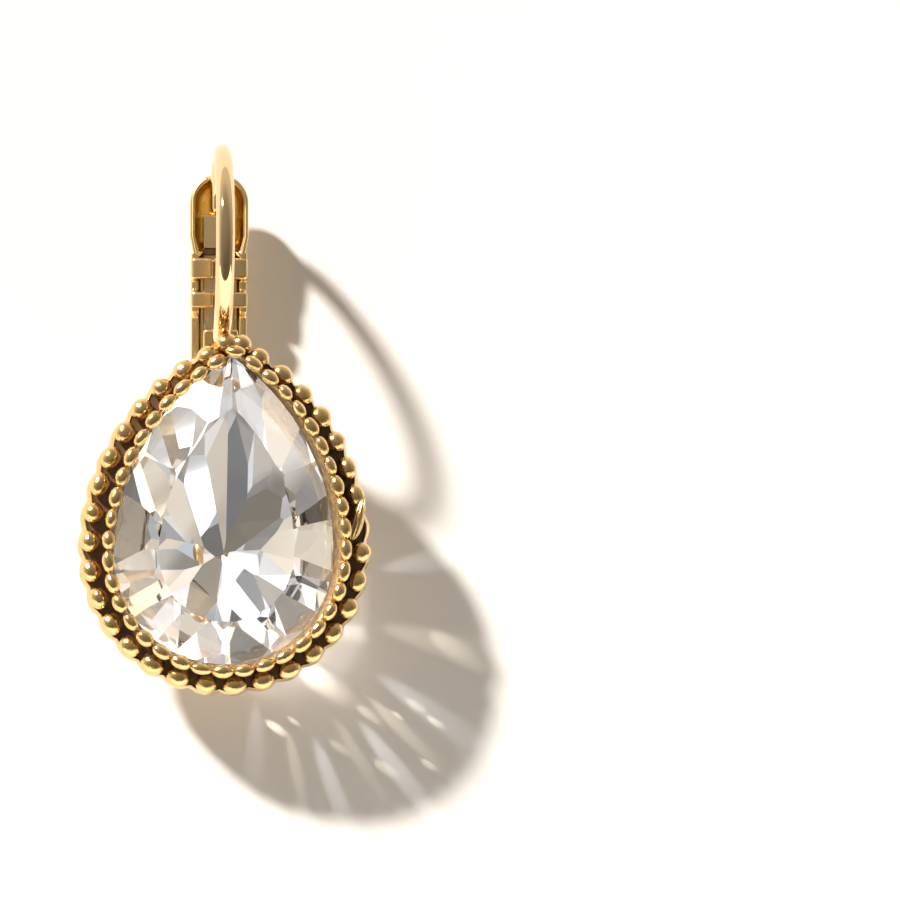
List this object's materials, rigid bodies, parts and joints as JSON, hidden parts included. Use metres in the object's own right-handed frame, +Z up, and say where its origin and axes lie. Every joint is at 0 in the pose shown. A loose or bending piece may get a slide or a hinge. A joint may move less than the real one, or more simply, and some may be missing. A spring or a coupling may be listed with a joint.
{
  "type": "leverback drop earring",
  "caption": "Drop earring with a pear-cut crystal in an open-backed setting edged by two rows of beads, on an ear wire closed by a sprung hinged lever.",
  "frame": {"origin": "underside of the ear wire at the top of its arch, where the earring hangs in the ear", "axes": "+Z up, -Y towards the viewer in front, +X to that viewer's right"},
  "size_m": [0.0175, 0.0108, 0.0331],
  "materials": {
    "antique_gold": "cast, plated gold, darkened in the recesses",
    "polished_gold": "polished plated gold",
    "lever_gold": "pressed and plated gold",
    "spring_metal": "satin spring metal",
    "crystal": "faceted and polished"
  },
  "bodies": {
    "earring": {"beaded_setting": "antique_gold", "pear_stone": "crystal", "ear_wire": "polished_gold", "hinge_pin": "polished_gold"},
    "lever": {"lever": "lever_gold", "spring_leaf": "spring_metal"}
  },
  "joints": [
    {"name": "lever_hinge", "type": "hinge", "parent": "earring", "child": "lever", "pos_m": [0, 0.0032, -0.0126], "axis": [-1, 0, 0], "range_deg": [0, 70]}
  ]
}
